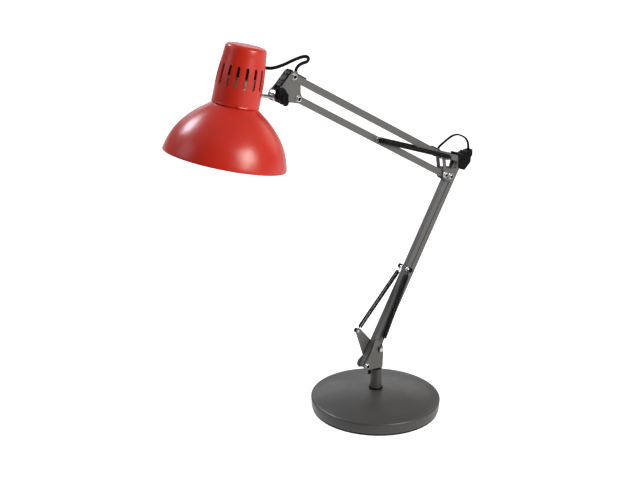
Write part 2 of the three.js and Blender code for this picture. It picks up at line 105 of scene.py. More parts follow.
# ---- node materials ----------------------------------------------------------------------------
class Mat:
    """A Principled material with a few procedural layers over it."""

    def __init__(self, name, color, rough, metal=0.0, **shader):
        self.mat = bpy.data.materials.new(name)
        self.mat.use_nodes = True
        self.tree = self.mat.node_tree
        self.bsdf = self.tree.nodes["Principled BSDF"]
        self.color, self.rough = color, rough
        self.bsdf.inputs["Base Color"].default_value = (*color, 1)
        self.bsdf.inputs["Roughness"].default_value = rough
        self.bsdf.inputs["Metallic"].default_value = metal
        for key, value in shader.items():
            self.bsdf.inputs[key.replace("_", " ")].default_value = value
        self.coords = self.tree.nodes.new("ShaderNodeTexCoord")
        self.normal = None
        self.color_out = None

    def node(self, kind, **props):
        n = self.tree.nodes.new(kind)
        for key, value in props.items():
            setattr(n, key, value)
        return n

    def link(self, a, b):
        self.tree.links.new(a, b)

    def noise(self, scale, detail=3.0, rough=0.5, stretch=None):
        """Noise with scale in cycles per metre; stretch scales the coordinates along X, Y, Z."""
        n = self.node("ShaderNodeTexNoise")
        n.inputs["Scale"].default_value = scale
        n.inputs["Detail"].default_value = detail
        n.inputs["Roughness"].default_value = rough
        source = self.coords.outputs["Object"]
        if stretch:
            m = self.node("ShaderNodeMapping")
            m.inputs["Scale"].default_value = stretch
            self.link(source, m.inputs["Vector"])
            source = m.outputs["Vector"]
        self.link(source, n.inputs["Vector"])
        return n.outputs["Fac"]

    def ramp(self, fac, stops):
        r = self.node("ShaderNodeValToRGB")
        e = r.color_ramp.elements
        while len(e) < len(stops):
            e.new(0.5)
        for el, (pos, col) in zip(e, stops):
            el.position = pos
            el.color = (*col, 1) if len(col) == 3 else col
        self.link(fac, r.inputs["Fac"])
        return r.outputs["Color"]

    def tint(self, fac, low, high, lo=0.35, hi=0.65):
        """Base colour varies between two multiples of its own value."""
        def times(k):
            factors = k if isinstance(k, tuple) else (k,) * 3
            return tuple(min(1.0, c * f) for c, f in zip(self.color, factors))
        self.color_out = self.ramp(fac, [(lo, times(low)), (hi, times(high))])
        self.link(self.color_out, self.bsdf.inputs["Base Color"])
        return self

    def vary_rough(self, fac, low, high):
        m = self.node("ShaderNodeMapRange")
        m.inputs["From Min"].default_value, m.inputs["From Max"].default_value = 0.3, 0.7
        m.inputs["To Min"].default_value, m.inputs["To Max"].default_value = low, high
        self.link(fac, m.inputs["Value"])
        self.link(m.outputs["Result"], self.bsdf.inputs["Roughness"])
        return self

    def bump(self, fac, height_mm, strength=1.0):
        b = self.node("ShaderNodeBump")
        b.inputs["Distance"].default_value = height_mm * MM
        b.inputs["Strength"].default_value = strength
        self.link(fac, b.inputs["Height"])
        if self.normal is not None:
            self.link(self.normal, b.inputs["Normal"])
        self.normal = b.outputs["Normal"]
        self.link(self.normal, self.bsdf.inputs["Normal"])
        return self

    def worn_edges(self, amount, color):
        """Convex edges turn toward a lighter colour, where handling has polished them."""
        g = self.node("ShaderNodeNewGeometry")
        edge = self.ramp(g.outputs["Pointiness"], [(0.52, (0, 0, 0)), (0.60, (amount,) * 3)])
        mix = self.node("ShaderNodeMix", data_type="RGBA")
        self.link(edge, mix.inputs["Factor"])
        self.link(self.color_out, mix.inputs["A"])
        mix.inputs["B"].default_value = (*color, 1)
        self.link(mix.outputs["Result"], self.bsdf.inputs["Base Color"])
        return self


def shade_paint():
    m = Mat("shade_paint", (0.61, 0.020, 0.0065), 0.31, Specular_IOR_Level=0.58, Coat_Weight=0.08,
            Coat_Roughness=0.2)
    m.tint(m.noise(14, 2), (0.94, 0.9, 0.9), (1.05, 1.1, 1.1))
    m.vary_rough(m.noise(90, 3), 0.28, 0.34)
    m.bump(m.noise(1500, 2), 0.012)
    return m.mat


def white_enamel():
    m = Mat("white_enamel", (0.80, 0.79, 0.76), 0.4, Specular_IOR_Level=0.5)
    m.tint(m.noise(20, 2), 0.96, 1.02)
    m.bump(m.noise(1400, 2), 0.015)
    return m.mat


def arm_paint():
    m = Mat("arm_paint", (0.126, 0.124, 0.120), 0.45, metal=0.25, Specular_IOR_Level=0.4)
    m.tint(m.noise(900, 3, 0.6), 0.82, 1.18)
    m.vary_rough(m.noise(300, 3), 0.38, 0.52)
    m.bump(m.noise(1700, 2), 0.03)
    m.worn_edges(0.35, (0.23, 0.226, 0.222))
    return m.mat


def base_paint():
    m = Mat("base_paint", (0.080, 0.078, 0.075), 0.36, metal=0.25, Specular_IOR_Level=0.6)
    m.tint(m.noise(1000, 3, 0.6), 0.86, 1.14)
    m.vary_rough(m.noise(60, 3), 0.32, 0.40)
    m.bump(m.noise(1800, 2), 0.02)
    return m.mat


def black_plastic():
    m = Mat("black_plastic", (0.005, 0.005, 0.0053), 0.45, Specular_IOR_Level=0.09)
    m.tint(m.noise(400, 3), 0.7, 1.4)
    m.vary_rough(m.noise(200, 3), 0.38, 0.54)
    m.bump(m.noise(2600, 2), 0.02)
    return m.mat


def zinc_steel(name="zinc_steel", color=(0.80, 0.80, 0.79), rough=0.32):
    m = Mat(name, color, rough, metal=1.0)
    m.tint(m.noise(350, 4), 0.78, 1.1)
    m.vary_rough(m.noise(500, 3), rough - 0.08, rough + 0.1)
    m.bump(m.noise(1500, 2), 0.008)
    return m.mat


def bright_chrome():
    m = Mat("bright_chrome", (0.62, 0.62, 0.63), 0.2, metal=1.0)
    m.tint(m.noise(120, 3), 0.92, 1.04)
    m.vary_rough(m.noise(300, 3), 0.15, 0.25)
    return m.mat


def spring_steel():
    m = Mat("spring_steel", (0.010, 0.010, 0.0105), 0.42, metal=0.3, Specular_IOR_Level=0.2)
    m.tint(m.noise(500, 3), 0.7, 1.5)
    m.vary_rough(m.noise(400, 3), 0.28, 0.44)
    m.bump(m.noise(3000, 2), 0.01)
    return m.mat


def cord_rubber():
    m = Mat("cord_rubber", (0.003, 0.003, 0.003), 0.55, Specular_IOR_Level=0.06)
    m.tint(m.noise(250, 2), 0.8, 1.3)
    m.vary_rough(m.noise(160, 3), 0.42, 0.56)
    m.bump(m.noise(2500, 2), 0.015)
    return m.mat


def pad_rubber():
    m = Mat("pad_rubber", (0.02, 0.02, 0.02), 0.85)
    m.tint(m.noise(600, 3), 0.7, 1.4)
    m.bump(m.noise(900, 3), 0.08)
    return m.mat


def weight_iron():
    m = Mat("weight_iron", (0.10, 0.095, 0.09), 0.7, metal=0.7)
    m.tint(m.noise(200, 5), 0.6, 1.3)
    m.bump(m.noise(450, 4), 0.15)
    return m.mat


def holder_metal():
    m = Mat("holder_brass", (0.62, 0.50, 0.38), 0.42, metal=0.35)
    m.tint(m.noise(180, 4), 0.75, 1.1)
    m.vary_rough(m.noise(300, 3), 0.3, 0.48)
    return m.mat


def bulb_glass():
    m = Mat("bulb_glass", (0.93, 0.92, 0.88), 0.32, Transmission_Weight=0.35, IOR=1.45)
    m.tint(m.noise(30, 2), 0.97, 1.02)
    m.bump(m.noise(1200, 2), 0.004)
    return m.mat


# Near-black for the insides of nut ends and bolt sockets: painted shade in those recesses.
def painted_shade_recess():
    m = Mat("painted_shade_recess", (0.008, 0.008, 0.008), 0.6, Specular_IOR_Level=0.1)
    m.tint(m.noise(800), 0.7, 1.3)
    return m.mat


MATERIAL = {
    "shade_paint": shade_paint(), "arm_paint": arm_paint(), "base_paint": base_paint(),
    "black_plastic": black_plastic(), "zinc_steel": zinc_steel(), "bright_chrome": bright_chrome(),
    "spring_steel": spring_steel(), "cord_rubber": cord_rubber(), "pad_rubber": pad_rubber(),
    "weight_iron": weight_iron(), "holder_brass": holder_metal(), "bulb_glass": bulb_glass(),
}
WHITE = white_enamel()
PAINTED_SHADE_RECESS = painted_shade_recess()
SLOT_OF = {s["node"]: s["material_slot"] for s in frame["record"]["subparts"]}


# ---- mesh helpers ------------------------------------------------------------------------------
def catmull(points, per):
    """Smooth open curve through the points, per steps between each two."""
    pts = [Vector(p) for p in points]
    pts = [2 * pts[0] - pts[1], *pts, 2 * pts[-1] - pts[-2]]
    out = []
    for i in range(1, len(pts) - 2):
        a, b, c, d = pts[i - 1:i + 3]
        for k in range(per):
            t = k / per
            out.append(0.5 * (2 * b + (c - a) * t + (2 * a - 5 * b + 4 * c - d) * t * t
                              + (3 * b - a - 3 * c + d) * t ** 3))
    return [*out, pts[-2]]


def smooth_by_angle(mesh, degrees):
    mesh.polygons.foreach_set("use_smooth", [True] * len(mesh.polygons))
    mesh.set_sharp_from_angle(angle=math.radians(degrees))


def piece(name, verts, faces, slot, body, stands_for=(), degrees=35, place=None, extra=(),
          which=None):
    """A mesh piece in the row frame: vertices in mm, moved by place, riding on a body."""
    mesh = bpy.data.meshes.new(name)
    pts = [Vector(v) for v in verts]
    if place is not None:
        pts = [place @ v for v in pts]
    mesh.from_pydata([v * MM for v in pts], [], faces)
    mesh.validate()
    for m in (MATERIAL[slot], *extra):
        mesh.materials.append(m)
    if which:
        mesh.polygons.foreach_set("material_index", [which(p) for p in mesh.polygons])
    smooth_by_angle(mesh, degrees)
    obj = bpy.data.objects.new(name, mesh)
    bpy.context.scene.collection.objects.link(obj)
    if body:
        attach(obj, body)
    if stands_for:
        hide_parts(*stands_for)
    return obj


def join_parts(*parts):
    verts, faces = [], []
    for v, f in parts:
        k = len(verts)
        verts += v
        faces += [tuple(i + k for i in face) for face in f]
    return verts, faces


def moved(part, matrix):
    return [matrix @ Vector(v) for v in part[0]], part[1]


def lathe(profile, n=96):
    """Closed turned solid about Z: a counter-clockwise profile of (r, z), with poles on the axis."""
    verts, rings = [], []
    for r, z in profile:
        if r < 1e-6:
            rings.append([len(verts)])
            verts.append((0, 0, z))
        else:
            rings.append(list(range(len(verts), len(verts) + n)))
            verts += [(x, y, z) for x, y in circle(r, n)]
    faces = []
    open_ring = profile[0][0] > 1e-6
    pairs = list(zip(rings, rings[1:])) + ([(rings[-1], rings[0])] if open_ring else [])
    for a, b in pairs:
        for i in range(n):
            j = (i + 1) % n
            quad = [a[i % len(a)], a[j % len(a)], b[j % len(b)], b[i % len(b)]]
            quad = [q for k, q in enumerate(quad) if q != quad[k - 1]]
            if len(quad) > 2:
                faces.append(tuple(quad))
    return verts, faces


def prism(loops):
    """Closed solid through stacked loops of equal count, each a list of points."""
    n = len(loops[0])
    verts = [p for loop in loops for p in loop]
    faces = [tuple(range(n))[::-1]]
    for k in range(len(loops) - 1):
        for i in range(n):
            j = (i + 1) % n
            faces.append((k * n + i, k * n + j, (k + 1) * n + j, (k + 1) * n + i))
    faces.append(tuple(range((len(loops) - 1) * n, len(loops) * n)))
    return verts, faces


def tube(path, section, side):
    """Sweeps section (list of (a, b)) along path; a runs along side(tangent, i), b across it."""
    verts, n = [], len(section)
    for i, p in enumerate(path):
        t = (path[min(i + 1, len(path) - 1)] - path[max(i - 1, 0)]).normalized()
        s = side(t, i)
        b = t.cross(s).normalized()
        s = b.cross(t)
        verts += [p + s * u + b * v for u, v in section]
    faces = [tuple(range(n))[::-1]]
    for k in range(len(path) - 1):
        for i in range(n):
            j = (i + 1) % n
            faces.append((k * n + i, k * n + j, (k + 1) * n + j, (k + 1) * n + i))
    faces.append(tuple(range((len(path) - 1) * n, len(path) * n)))
    return verts, faces


def circle(r, n):
    angles = [2 * math.pi * i / n for i in range(n)]
    return [(r * math.cos(a), r * math.sin(a)) for a in angles]


def bevel(node, width, segments=2, angle=35, flat=0.6):
    """Rounds the sharp edges of a CAD node that stays, after dissolving its flat faces; the loop
    further down shades it smooth.
    """
    obj = NODES[node]
    thin = obj.modifiers.new("flats", "DECIMATE")
    thin.decimate_type, thin.angle_limit = "DISSOLVE", math.radians(flat)
    mod = obj.modifiers.new("edges", "BEVEL")
    mod.width, mod.segments, mod.limit_method = width * MM, segments, "ANGLE"
    mod.angle_limit, mod.harden_normals = math.radians(angle), False
    mod.use_clamp_overlap = True


# ---- CAD nodes that stay -----------------------------------------------------------------------
for name, obj in NODES.items():
    obj.data.materials.clear()
    obj.data.materials.append(MATERIAL[SLOT_OF[name]])

SHADE = Matrix.Translation((RIM[0], 0, RIM[1])) @ Matrix.Rotation(LEAN, 4, "Y")

# ---- base --------------------------------------------------------------------------------------
COVER_SHEET = 1.5
KNOB_Z, KNOB_TURN = 57.5, math.radians(140)     # of the clamp knob on the post


def base_cover():
    """Pressed cover, shallow domed on top and rolled over at the rim."""
    top = [(POST_R + GAP, BASE_TOP), (18, BASE_TOP - 0.3), (40, BASE_TOP - 1.7),
           (60, BASE_TOP - 4.2),
           (78, BASE_TOP - 7.6), (89, BASE_TOP - 10.6), (93.8, BASE_TOP - 12.35)]
    outer = [(p.x, p.y) for p in catmull([(r, z, 0) for r, z in top], 6)]
    rim = [(94.7, 19.1), (95.45, 18.4), (95.75, 17.6), (95.75, 16.8), (95.55, 14), (95.15, 9.5),
           (94.7, 4.2), (94.4, 3.2), (93.8, 3.0), (93.35, 3.2)]
    inner = [(94.1, 15.6)] + [(r, z - COVER_SHEET) for r, z in reversed(top[:5])]
    ring = (outer + rim + inner)[::-1]
    verts, faces = lathe(ring, 192)
    piece("base_cover_pressed", verts, faces, "base_paint", "base", ["base_cover"], 28)


def post():
    """Drawn tube, solid below and open at the top, where the bracket's spindle goes in."""
    ring = [(5.3, 34), (5.3, 63.4), (5.7, 63.9), (6.2, 64), (7.9, 64), (8.35, 63.8), (POST_R, 63.3),
            (POST_R, 3.2), (0, 3.2), (0, 34)]
    verts, faces = lathe(ring[::-1], 72)
    piece("post_tube_drawn", verts, faces, "base_paint", "base", ["post_tube"], 30)


def knurled_knob():
    """Clamp knob on the side of the post, ridged round its edge, with a dished face."""
    n, ridges = 96, 24
    def loop(r, depth, z):
        pts = []
        for i in range(n):
            a = 2 * math.pi * i / n
            rad = r - depth * (0.5 - 0.5 * math.cos(ridges * a))
            pts.append(Vector((rad * math.cos(a), rad * math.sin(a), z)))
        return pts
    knob = prism([loop(3.3, 0, 9.1), loop(3.9, 0.35, 9.5), loop(3.9, 0.35, 11.6),
                  loop(3.4, 0.1, 12.1), loop(2.3, 0, 12.1), loop(1.9, 0, 11.7)])
    shank = prism([[Vector((x, y, z)) for x, y in circle(1.9, 24)] for z in (5.9, 9.2)])
    verts, faces = join_parts(knob, shank)
    place = (Matrix.Translation((0, 0, KNOB_Z)) @ Matrix.Rotation(KNOB_TURN, 4, "Z")
             @ Matrix.Rotation(math.pi / 2, 4, "Y"))
    piece("post_clamp_knob_ridged", verts, faces, "black_plastic", "clamp_knob",
          ["post_clamp_knob"], 40, place)


base_cover()
post()
knurled_knob()


# ---- springs -----------------------------------------------------------------------------------
WIRE, EYE = 0.55, 3.2                   # radii of the wire and of the hooks
PITCH_OF_COIL, STEPS = 1.24, 14         # mm and path steps for each turn
HOOK_FROM, HOOK_SWEEP, HOOK_STEPS = math.radians(-250), math.radians(215), 16
LEAD_OVERLAP = 1.2                      # length of a lead that runs inside the coil


def spring(name, a, b, lead_a, lead_b, start, end, node):
    """Close-wound extension spring from pin a to pin b, with an open hook round each pin."""
    A, B = Vector(a), Vector(b)
    u = (B - A).normalized()
    side = Vector((0, 1, 0))
    v = side.cross(u).normalized()
    w = u.cross(v)
    coil = SPRING_R - WIRE
    def hook(centre, along):
        """From the free end of the hook round the pin to the spring's axis."""
        pts = []
        for k in range(HOOK_STEPS + 1):
            ang = HOOK_FROM + HOOK_SWEEP * k / HOOK_STEPS
            pts.append(centre + EYE * (math.cos(ang) * along + math.sin(ang) * v))
        pts.append(centre + along * (EYE + 0.9) - v * 0.9)
        pts.append(centre + along * (EYE + 2.2))
        return pts
    start_pts = catmull(hook(A, u) + [A + u * (lead_a - LEAD_OVERLAP)], 3)
    end_pts = catmull(hook(B, -u) + [B - u * (lead_b - LEAD_OVERLAP)], 3)[::-1]
    length = (B - A).length - lead_a - lead_b
    count = round(length / PITCH_OF_COIL) * STEPS
    helix = []
    for k in range(count + 1):
        # the end turns close in toward the leads
        ramp = min(1.0, k / STEPS * 1.6, (count - k) / STEPS * 1.6)
        ang = 2 * math.pi * k / STEPS
        out = math.cos(ang) * v + math.sin(ang) * w
        helix.append(A + u * (lead_a + length * k / count) + coil * ramp * out)
    path = start_pts + helix + end_pts
    verts, faces = tube(path, circle(WIRE, 7), lambda t, i: side if abs(t.dot(side)) < 0.8 else u)
    obj = piece(name, verts, faces, "spring_steel", None, [node], 70)
    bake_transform(obj)


def at(p, y):
    return (p[0], y, p[1])


def between(a, b, t):
    return tuple(Vector(a).lerp(Vector(b), t))


def all_springs():
    near_foot, near_peg = at(R0, -SPRING_Y), at(LO_PEG, -SPRING_Y)
    spring("spring_lower_near_coil", near_foot, near_peg, 17, 8,
           between(near_foot, near_peg, -0.05), between(near_foot, near_peg, 0.5),
           "spring_lower_near")
    far_foot, far_peg = at(WING, SPRING_Y), at(LO_PEG, SPRING_Y)
    spring("spring_lower_far_coil", far_foot, far_peg, 6, 8,
           between(far_foot, far_peg, -0.05), between(far_foot, far_peg, 0.9), "spring_lower_far")
    for side, s in (("near", -1), ("far", 1)):
        pin, peg = at(SPRING_PIN, s * SPRING_Y_ELBOW), at(UP_PEG, s * SPRING_Y)
        spring(f"spring_upper_{side}_coil", pin, peg, 7, 7,
               between(pin, peg, 0.0), between(pin, peg, 0.35), f"spring_upper_{side}")


all_springs()


# ---- cords -------------------------------------------------------------------------------------
# Routes as (x, z) in the arm's plane, from the exit on.
HEAD_LOOP = [(-207.1, 546), (-203.2, 545), (-198.1, 543.8), (-193, 542.9), (-187, 542.7),
             (-180, 543.3), (-169.8, 545.2), (-159.6, 547.8), (-149.2, 550.2), (-141, 551.3),
             (-135.2, 550.8), (-132.2, 548.9), (-131.9, 545.9), (-134.6, 543.7), (-139.6, 542.9),
             (-145.8, 541.2), (-150.6, 537.6), (-152.4, 532.4)]
ELBOW_LOOP = [(103.9, 384.6), (105.3, 386.6), (108.8, 389), (114.6, 392.2), (122.9, 396.4),
              (130.1, 399.2), (139, 399.6), (147.3, 396.8), (155.9, 391.4), (160.8, 384.6),
              (162.4, 377), (162.4, 369)]


def twin_cord(name, points, half_width, half_thick, upright, node):
    """Flat twin cord: two cores in one skin, side by side across the arm or, upright, along it."""
    path = catmull([(x, 0, z) for x, z in points], 8)
    section = []
    n = 28
    for i in range(n):
        a = 2 * math.pi * i / n
        waist = 1 - 0.16 * math.exp(-((math.cos(a)) / 0.28) ** 2)
        section.append((half_width * math.cos(a) * (1 - 0.06 * math.sin(a) ** 2),
                        half_thick * math.copysign(abs(math.sin(a)) ** 0.8, math.sin(a)) * waist))
    if upright:
        section = [(v, u) for u, v in reversed(section)]
    verts, faces = tube(path, section, lambda t, i: Vector((0, 1, 0)))
    obj = piece(name, verts, faces, "cord_rubber", None, [node], 80)
    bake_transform(obj)
    length = sum((b - a).length for a, b in zip(path, path[1:])) * MM


twin_cord("cord_head_loop_twin", HEAD_LOOP, 2.25, 1.4, True,
          "cord_head_loop")
twin_cord("cord_elbow_loop_twin", ELBOW_LOOP, 2.1, 1.3, False,
          "cord_elbow_loop")


# ---- shade -------------------------------------------------------------------------------------
# Outer profiles as (r, height): the dome's above the rim, the cap's above its own lower edge.
DOME = [(82, 0), (81.4, 3.9), (80, 9.5), (78.2, 15.4), (75.9, 21.5), (73.1, 27.6), (69.6, 33.6),
        (65.5, 39.5), (60.8, 45.3), (55.6, 51), (49.9, 56.4), (44, 61.4), (38.4, 65.6),
        (33.6, 69.2)]
DOME_AROUND = 224
CAP_H, CAP_WALL = 78.5, 1.2
CAP = [(31.4, 0), (31.2, 15), (31.1, 30), (30.2, 44), (28.9, 56), (28, 64), (27.4, 71),
       (26.5, 74.5), (24.1, 76.6), (19, 77.7), (8, 78.4), (0, CAP_H)]
CAP_LIP = [(30.2, 0.5), (30.5, 0.1), (31.0, -0.1), (31.55, 0.05), (31.8, 0.45), (31.75, 1.0),
           (31.45, 1.5)]
SLOT_TURN = math.radians(1.5)           # angle of the first slot's place
CORD_BORE, CORD_Z = 2.8, 124.8          # that place has the cord's round hole instead of a slot


def profile_curve(points, per):
    return [(p.x, p.y) for p in catmull([(r, z, 0) for r, z in points], per)]


def shade_dome():
    """Spun dome with a hemmed rim, white inside, and a neck that goes up into the cap."""
    outer = profile_curve(DOME, 5)
    hem = [(80.9, 0.25), (81.3, 0), (81.75, 0.05)]
    neck = [(30.4, 71.9), (29.6, 72.9), (29.6, 78.4), (28.4, 78.4), (28.4, 71.3)]
    inner = [(r - 0.9, z - 0.8) for r, z in profile_curve(DOME[2:], 4)][::-1]
    inside = inner + [(80.2, 4.6), (80.4, 3.0), (80.6, 1.4)]
    ring = hem + outer[1:] + neck + inside
    verts, faces = lathe(ring, DOME_AROUND)
    outside = len(hem) + len(outer) + 2
    def which(poly):
        return 1 if poly.index // DOME_AROUND >= outside else 0
    piece("shade_dome_spun", verts, faces, "shade_paint", "shade", ["shade_dome"], 40, SHADE,
          (WHITE,), which)


def cap_radius(z):
    """Radius of the cap's skin at a height above the rim."""
    pts = CAP_FINE
    for (r0, z0), (r1, z1) in zip(pts, pts[1:]):
        if z0 <= z <= z1:
            return r0 + (r1 - r0) * (z - z0) / max(z1 - z0, 1e-9)
    return pts[-1][0] if z > pts[-1][1] else pts[0][0]


CAP_FINE = [(r, z + CAP_Z) for r, z in profile_curve(CAP, 8)]


def cap_point(angle, z, inset):
    """Point on the cap at an angle and height, inset below its skin."""
    slope = (cap_radius(z + 1) - cap_radius(z - 1)) / 2
    k = 1 / math.hypot(1, slope)
    r = cap_radius(z) - inset * k
    return Vector((r * math.cos(angle), r * math.sin(angle), z + inset * slope * k))


def slot_panel(centre, half, z0, z1, inset, opening, n=12):
    """Rings of points from an opening's outline out to the panel's border, all of equal count.
    The opening is (half width, centre height of its lower end, of its upper end)."""
    r0 = 30.0
    hw, zc0, zc1 = opening
    inner, border = [], []
    def add(u, z, bu, bz):
        inner.append((u, z))
        border.append((bu, bz))
    side = 14
    for k in range(side):                       # right side, upward
        t = k / side
        add(hw, zc0 + (zc1 - zc0) * t, half * r0, z0 + (z1 - z0) * t)
    for k in range(n):                          # top end, right to left
        a = math.pi * k / n
        add(hw * math.cos(a), zc1 + hw * math.sin(a), half * r0 * (1 - 2 * k / n), z1)
    for k in range(side):
        t = k / side
        add(-hw, zc1 - (zc1 - zc0) * t, -half * r0, z1 - (z1 - z0) * t)
    for k in range(n):
        a = math.pi + math.pi * k / n
        add(hw * math.cos(a), zc0 + hw * math.sin(a), -half * r0 * (1 - 2 * k / n), z0)
    rings = []
    for f in (0, 0.12, 0.35, 0.68, 1):
        rings.append([cap_point(centre + (iu + (bu - iu) * f) / r0, iz + (bz - iz) * f, inset)
                      for (iu, iz), (bu, bz) in zip(inner, border)])
    return rings


def shade_cap():
    """Cap with its slots cut right through, as one shell with a rolled lower lip."""
    z0, z1 = SLOT_Z0 - 3, SLOT_Z1 + 3
    half = math.pi / SLOT_COUNT
    verts, faces, index = [], [], {}

    def vert(p):
        key = (round(p.x, 3), round(p.y, 3), round(p.z, 3))
        if key not in index:
            index[key] = len(verts)
            verts.append(p)
        return index[key]

    def face(*pts):
        ids = [vert(p) for p in pts]
        ids = [q for k, q in enumerate(ids) if q != ids[k - 1]]
        if len(ids) > 2:
            faces.append(tuple(ids))

    for s in range(SLOT_COUNT):
        centre = 2 * math.pi * s / SLOT_COUNT + SLOT_TURN
        walls = []
        slot = (SLOT_W / 2, SLOT_Z0 + SLOT_W / 2, SLOT_Z1 - SLOT_W / 2)
        opening = slot if s else (CORD_BORE, CORD_Z, CORD_Z)
        for inset in (0.0, CAP_WALL):
            rings = slot_panel(centre, half, z0, z1, inset, opening)
            walls.append(rings[0])
            for a, b in zip(rings, rings[1:]):
                for i in range(len(a)):
                    j = (i + 1) % len(a)
                    quad = (a[i], b[i], b[j], a[j])
                    face(*(quad if inset == 0 else quad[::-1]))
        a, b = walls
        for i in range(len(a)):
            j = (i + 1) % len(a)
            face(a[i], a[j], b[j], b[i])
    steps = 12 * SLOT_COUNT
    angles = [2 * math.pi * i / steps - half + SLOT_TURN for i in range(steps)]
    def row(z, inset):
        return [cap_point(a, z, inset) for a in angles]
    def band(rows, flip):
        for a, b in zip(rows, rows[1:]):
            for i in range(steps):
                j = (i + 1) % steps
                quad = (a[i], a[j], b[j], b[i])
                face(*(quad[::-1] if flip else quad))
    above = [z for _, z in CAP_FINE if z > z1 + 0.5][:-1]
    low = CAP_Z + 2.2                   # where the skin above the lip begins
    below = [low + (z0 - low) * k / 12 for k in range(12)]
    outer_low = [row(z, 0.0) for z in below] + [row(z0, 0.0)]
    lip = [[Vector((r * math.cos(a), r * math.sin(a), CAP_Z + h)) for a in angles]
           for r, h in CAP_LIP]
    band(lip + outer_low, False)
    inner_low = [row(z0, CAP_WALL)] + [row(z, CAP_WALL) for z in reversed(below)] + [lip[0]]
    band(inner_low, False)
    outer_top = [row(z1, 0.0)] + [row(z, 0.0) for z in above]
    inner_top = [row(z1, CAP_WALL)] + [row(z, CAP_WALL) for z in above]
    band(outer_top, False)
    band(inner_top, True)
    top_out, top_in = Vector((0, 0, CAP_Z + CAP_H)), Vector((0, 0, CAP_Z + CAP_H - CAP_WALL))
    for i in range(steps):
        j = (i + 1) % steps
        face(outer_top[-1][i], outer_top[-1][j], top_out)
        face(inner_top[-1][j], inner_top[-1][i], top_in)
    piece("shade_cap_slotted", verts, faces, "shade_paint", "shade", ["shade_cap"], 38, SHADE)


shade_dome()
shade_cap()


# ---- fastenings --------------------------------------------------------------------------------
def along_y(p, sign=-1):
    """Frame whose Z runs outward along Y on one side of the arm, at a pivot (x, z)."""
    turn = Matrix.Rotation(math.pi / 2 if sign < 0 else -math.pi / 2, 4, "X")
    return Matrix.Translation((p[0], 0, p[1])) @ turn


def hex_nut(r, z0, z1, phase=0.3):
    """Hexagon whose corners a cone chamfers at both ends."""
    n = 48
    def loop(scale, z, roundness):
        pts = []
        for i in range(n):
            a = 2 * math.pi * i / n
            local = (a + phase) % (math.pi / 3) - math.pi / 6
            flat = r * math.cos(math.pi / 6) / math.cos(local)
            rad = min(flat, r * roundness) * scale
            pts.append(Vector((rad * math.cos(a), rad * math.sin(a), z)))
        return pts
    h = z1 - z0
    return prism([loop(1, z0, 0.94), loop(1, z0 + 0.12 * h, 1), loop(1, z1 - 0.22 * h, 1),
                  loop(1, z1 - 0.05 * h, 0.9), loop(0.8, z1, 0.9)])


def domed_nut(p, z0, z1):
    """Washer, a low hexagon and its domed collar round the open end, on the near side; pivot_bolt
    paints that end near-black as painted shade.
    """
    washer = lathe([(0, z0), (4.4, z0), (4.5, z0 + 0.15), (4.5, z0 + 0.4), (4.3, z0 + 0.55),
                    (0, z0 + 0.55)], 48)
    nut = hex_nut(4.0, z0 + 0.55, z0 + 1.5)
    dome = lathe([(0, z0 + 1.4), (3.8, z0 + 1.4), (3.8, z0 + 1.9), (3.6, z1 - 0.6), (3.3, z1 - 0.2),
                  (2.9, z1 + 0.05), (2.5, z1 - 0.1), (2.3, z1 - 0.5), (2.25, z1 - 2.0),
                  (0, z1 - 2.0)], 40)
    return [moved(part, along_y(p)) for part in (washer, nut, dome)]


def domed_head(p, z0, r=4.1, h=2.0):
    """Round bolt head on the far side with a hexagon socket."""
    prof = [(0, z0), (r, z0), (r, z0 + 0.4 * h)]
    prof += [(r * math.cos(a), z0 + 0.4 * h + 0.6 * h * math.sin(a)) for a in (0.35, 0.7, 1.0)]
    prof += [(1.5, z0 + h), (1.4, z0 + h - 0.9), (0, z0 + h - 1.1)]
    return [moved(lathe(prof, 40), along_y(p, 1))]


def shank(p, r, y0, y1, n=24):
    """Round bar along Y, as a list of one part."""
    verts = [Vector((p[0] + a, y, p[1] + b)) for y in (y0, y1) for a, b in circle(r, n)]
    ends = [tuple(range(n)), tuple(range(n, 2 * n))[::-1]]
    return [(verts, ends + [(i, i + n, (i + 1) % n + n, (i + 1) % n) for i in range(n)])]


def shoulders(p, width):
    """Collars between a tube of that width and the plates."""
    near, far = width / 2 + GAP + 0.05, PLATE_IN - 0.05
    return shank(p, 3.2, -far, -near) + shank(p, 3.2, near, far)


def pivot_bolt(node, p, body, width):
    z0 = PLATE_OUT + 0.05
    parts = domed_nut(p, z0, NUT_OUT) + domed_head(p, z0)
    parts += shank(p, 2.0, -z0 - 0.4, z0 + 0.4) + shoulders(p, width)
    verts, faces = join_parts(*parts)
    def which(poly):
        """The open end of the nut and the socket of the head are painted near-black inside, as
        painted shade.
        """
        c = poly.center / MM
        return 1 if abs(c.y) > z0 + 0.3 and math.hypot(c.x - p[0], c.z - p[1]) < 2.35 else 0
    piece(node + "_detail", verts, faces, "zinc_steel", body, [node], 30, None, (PAINTED_SHADE_RECESS,),
          which)


def tubular_rivet(node, p, body, out, width, slot):
    """Rolled rivet with a hollow end on both sides."""
    parts = []
    for sign in (-1, 1):
        cap = lathe([(0, out - 1.25), (3.4, out - 1.25), (3.6, out - 0.6), (3.3, out - 0.15),
                     (2.6, out), (1.9, out - 0.15), (1.5, out - 0.7), (1.4, out - 1.2),
                     (0, out - 1.2)], 36)
        parts.append(moved(cap, along_y(p, sign)))
    parts += shank(p, 2.0, -out + 1.2, out - 1.2) + shoulders(p, width)
    verts, faces = join_parts(*parts)
    piece(node + "_detail", verts, faces, slot, body, [node], 35)


